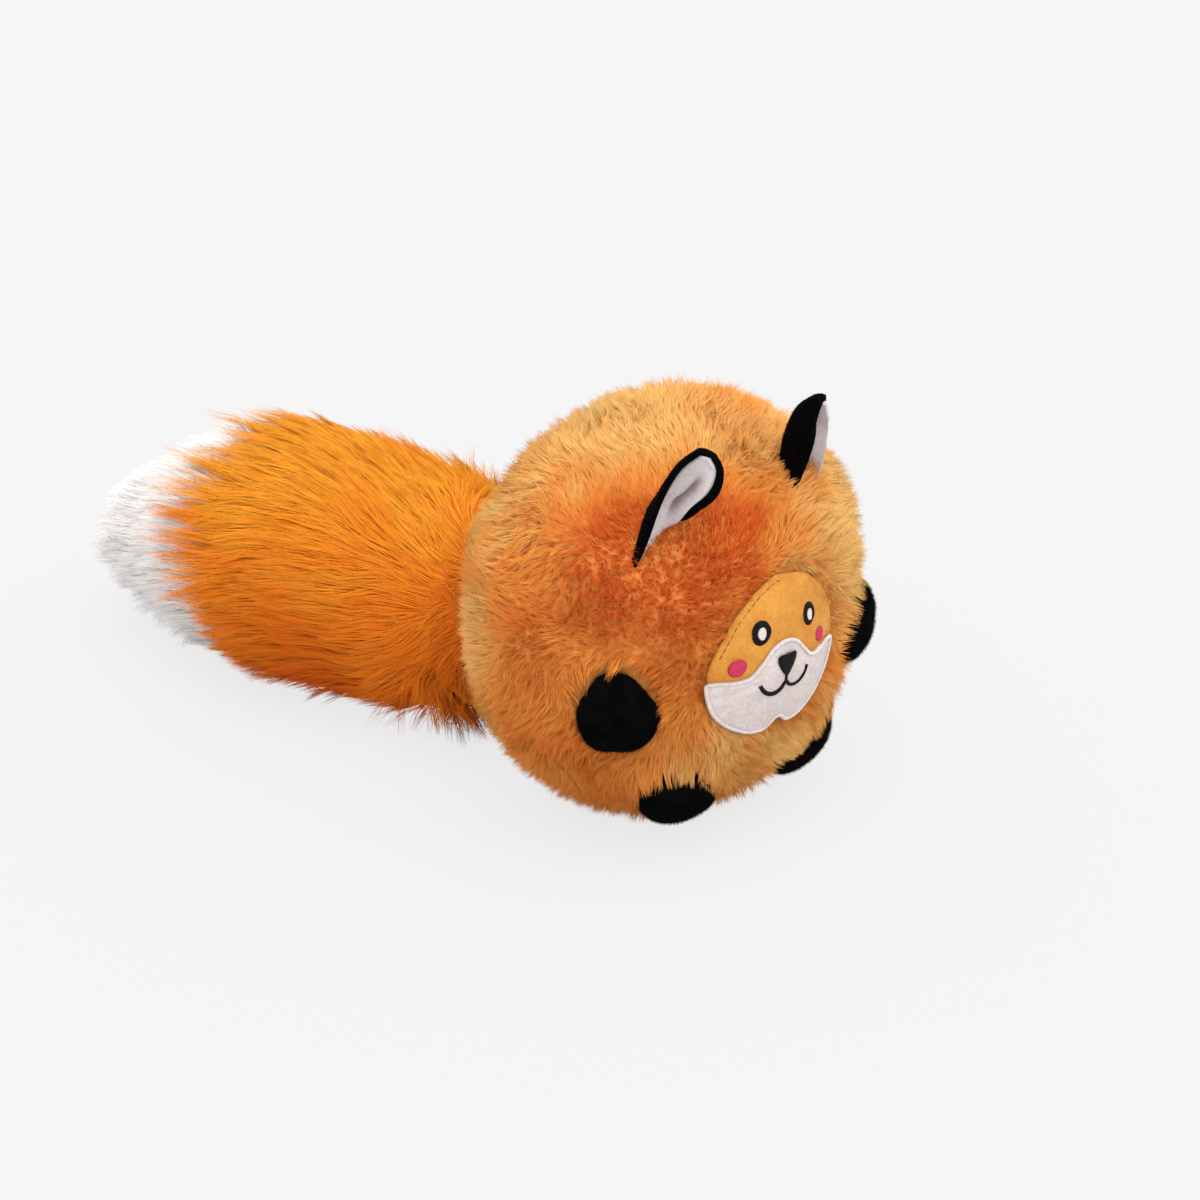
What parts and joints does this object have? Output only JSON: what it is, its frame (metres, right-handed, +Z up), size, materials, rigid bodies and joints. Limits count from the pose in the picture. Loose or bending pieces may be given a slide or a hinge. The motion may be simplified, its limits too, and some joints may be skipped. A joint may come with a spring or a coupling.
{
  "type": "plush fox",
  "caption": "Ball-bodied plush fox with a stitched face, two cupped ears, four flat paws, a long brush tail and a squeaker inside.",
  "frame": {"origin": "on the floor under the middle of the ball body, at the middle of the flat that it rests on", "axes": "+X to the fox's own left, +Y to its rear, along the tail, +Z up; the face looks along -Y"},
  "size_m": [0.1242, 0.2361, 0.1208],
  "materials": {
    "orange_plush": "deep-pile plush, cut pile",
    "tail_plush": "long-pile plush",
    "white_plush": "long-pile plush",
    "black_plush": "short-pile plush",
    "ear_lining": "short-nap fabric",
    "face_felt": "short-nap fabric",
    "muzzle_felt": "short-nap fabric",
    "white_thread": "satin-stitched thread",
    "black_thread": "satin-stitched thread",
    "mustard_thread": "seam thread",
    "pink_thread": "satin-stitched thread",
    "fibre_fill": "loose polyester fibre",
    "squeaker_plastic": "soft moulded plastic"
  },
  "bodies": {
    "body": {"body_cover_front": "orange_plush", "body_cover_rear": "orange_plush", "body_fill_front": "fibre_fill", "body_fill_rear": "fibre_fill", "squeaker_bulb": "squeaker_plastic", "squeaker_reed": "squeaker_plastic", "face_panel": "face_felt", "face_stitching": "mustard_thread", "muzzle_patch": "muzzle_felt", "muzzle_stitching": "white_thread", "nose": "black_thread", "mouth": "black_thread", "eye_right": "black_thread", "eye_left": "black_thread", "eye_highlight_right": "white_thread", "eye_highlight_left": "white_thread", "cheek_right": "pink_thread", "cheek_left": "pink_thread"},
    "ear_right": {"ear_back_right": "black_plush", "ear_lining_right": "ear_lining"},
    "ear_left": {"ear_back_left": "black_plush", "ear_lining_left": "ear_lining"},
    "arm_right": {"arm_right_cover": "black_plush", "arm_right_fill": "fibre_fill"},
    "arm_left": {"arm_left_cover": "black_plush", "arm_left_fill": "fibre_fill"},
    "foot_right": {"foot_right_cover": "black_plush", "foot_right_fill": "fibre_fill"},
    "foot_left": {"foot_left_cover": "black_plush", "foot_left_fill": "fibre_fill"},
    "tail_root": {"tail_root": "tail_plush"},
    "tail": {"tail_cover": "tail_plush", "tail_tip_cover": "white_plush", "tail_fill": "fibre_fill"}
  },
  "joints": [
    {"name": "ear_right_fold", "type": "hinge", "parent": "body", "child": "ear_right", "pos_m": [-0.02751, -0.02932, 0.08966], "axis": [0.8012, -0.0226, 0.598], "range_deg": [-15, 45], "stiffness_Nm_per_rad": 0.002},
    {"name": "ear_left_fold", "type": "hinge", "parent": "body", "child": "ear_left", "pos_m": [0.02253, -0.02604, 0.09649], "axis": [0.8442, -0.0811, -0.5298], "range_deg": [-15, 45], "stiffness_Nm_per_rad": 0.002},
    {"name": "arm_right_bend", "type": "hinge", "parent": "body", "child": "arm_right", "pos_m": [-0.04074, -0.03042, 0.04783], "axis": [0.7563, -0.6542, 0], "range_deg": [-15, 15], "stiffness_Nm_per_rad": 0.004},
    {"name": "arm_left_bend", "type": "hinge", "parent": "body", "child": "arm_left", "pos_m": [0.0407, -0.03039, 0.04738], "axis": [0.7563, 0.6542, 0], "range_deg": [-15, 15], "stiffness_Nm_per_rad": 0.004},
    {"name": "foot_right_bend", "type": "hinge", "parent": "body", "child": "foot_right", "pos_m": [-0.02163, -0.02949, 0.01814], "axis": [0.9038, -0.428, 0], "range_deg": [-15, 15], "stiffness_Nm_per_rad": 0.004},
    {"name": "foot_left_bend", "type": "hinge", "parent": "body", "child": "foot_left", "pos_m": [0.02206, -0.02955, 0.01847], "axis": [0.9007, 0.4344, 0], "range_deg": [-15, 15], "stiffness_Nm_per_rad": 0.004},
    {"name": "tail_swing", "type": "hinge", "parent": "body", "child": "tail_root", "pos_m": [-0.00447, 0.05087, 0.04221], "axis": [0, 0, 1], "range_deg": [-60, 2]},
    {"name": "tail_lift", "type": "hinge", "parent": "tail_root", "child": "tail", "pos_m": [-0.00447, 0.05087, 0.04221], "axis": [0.8387, 0.5446, 0], "range_deg": [-15, 16]}
  ]
}
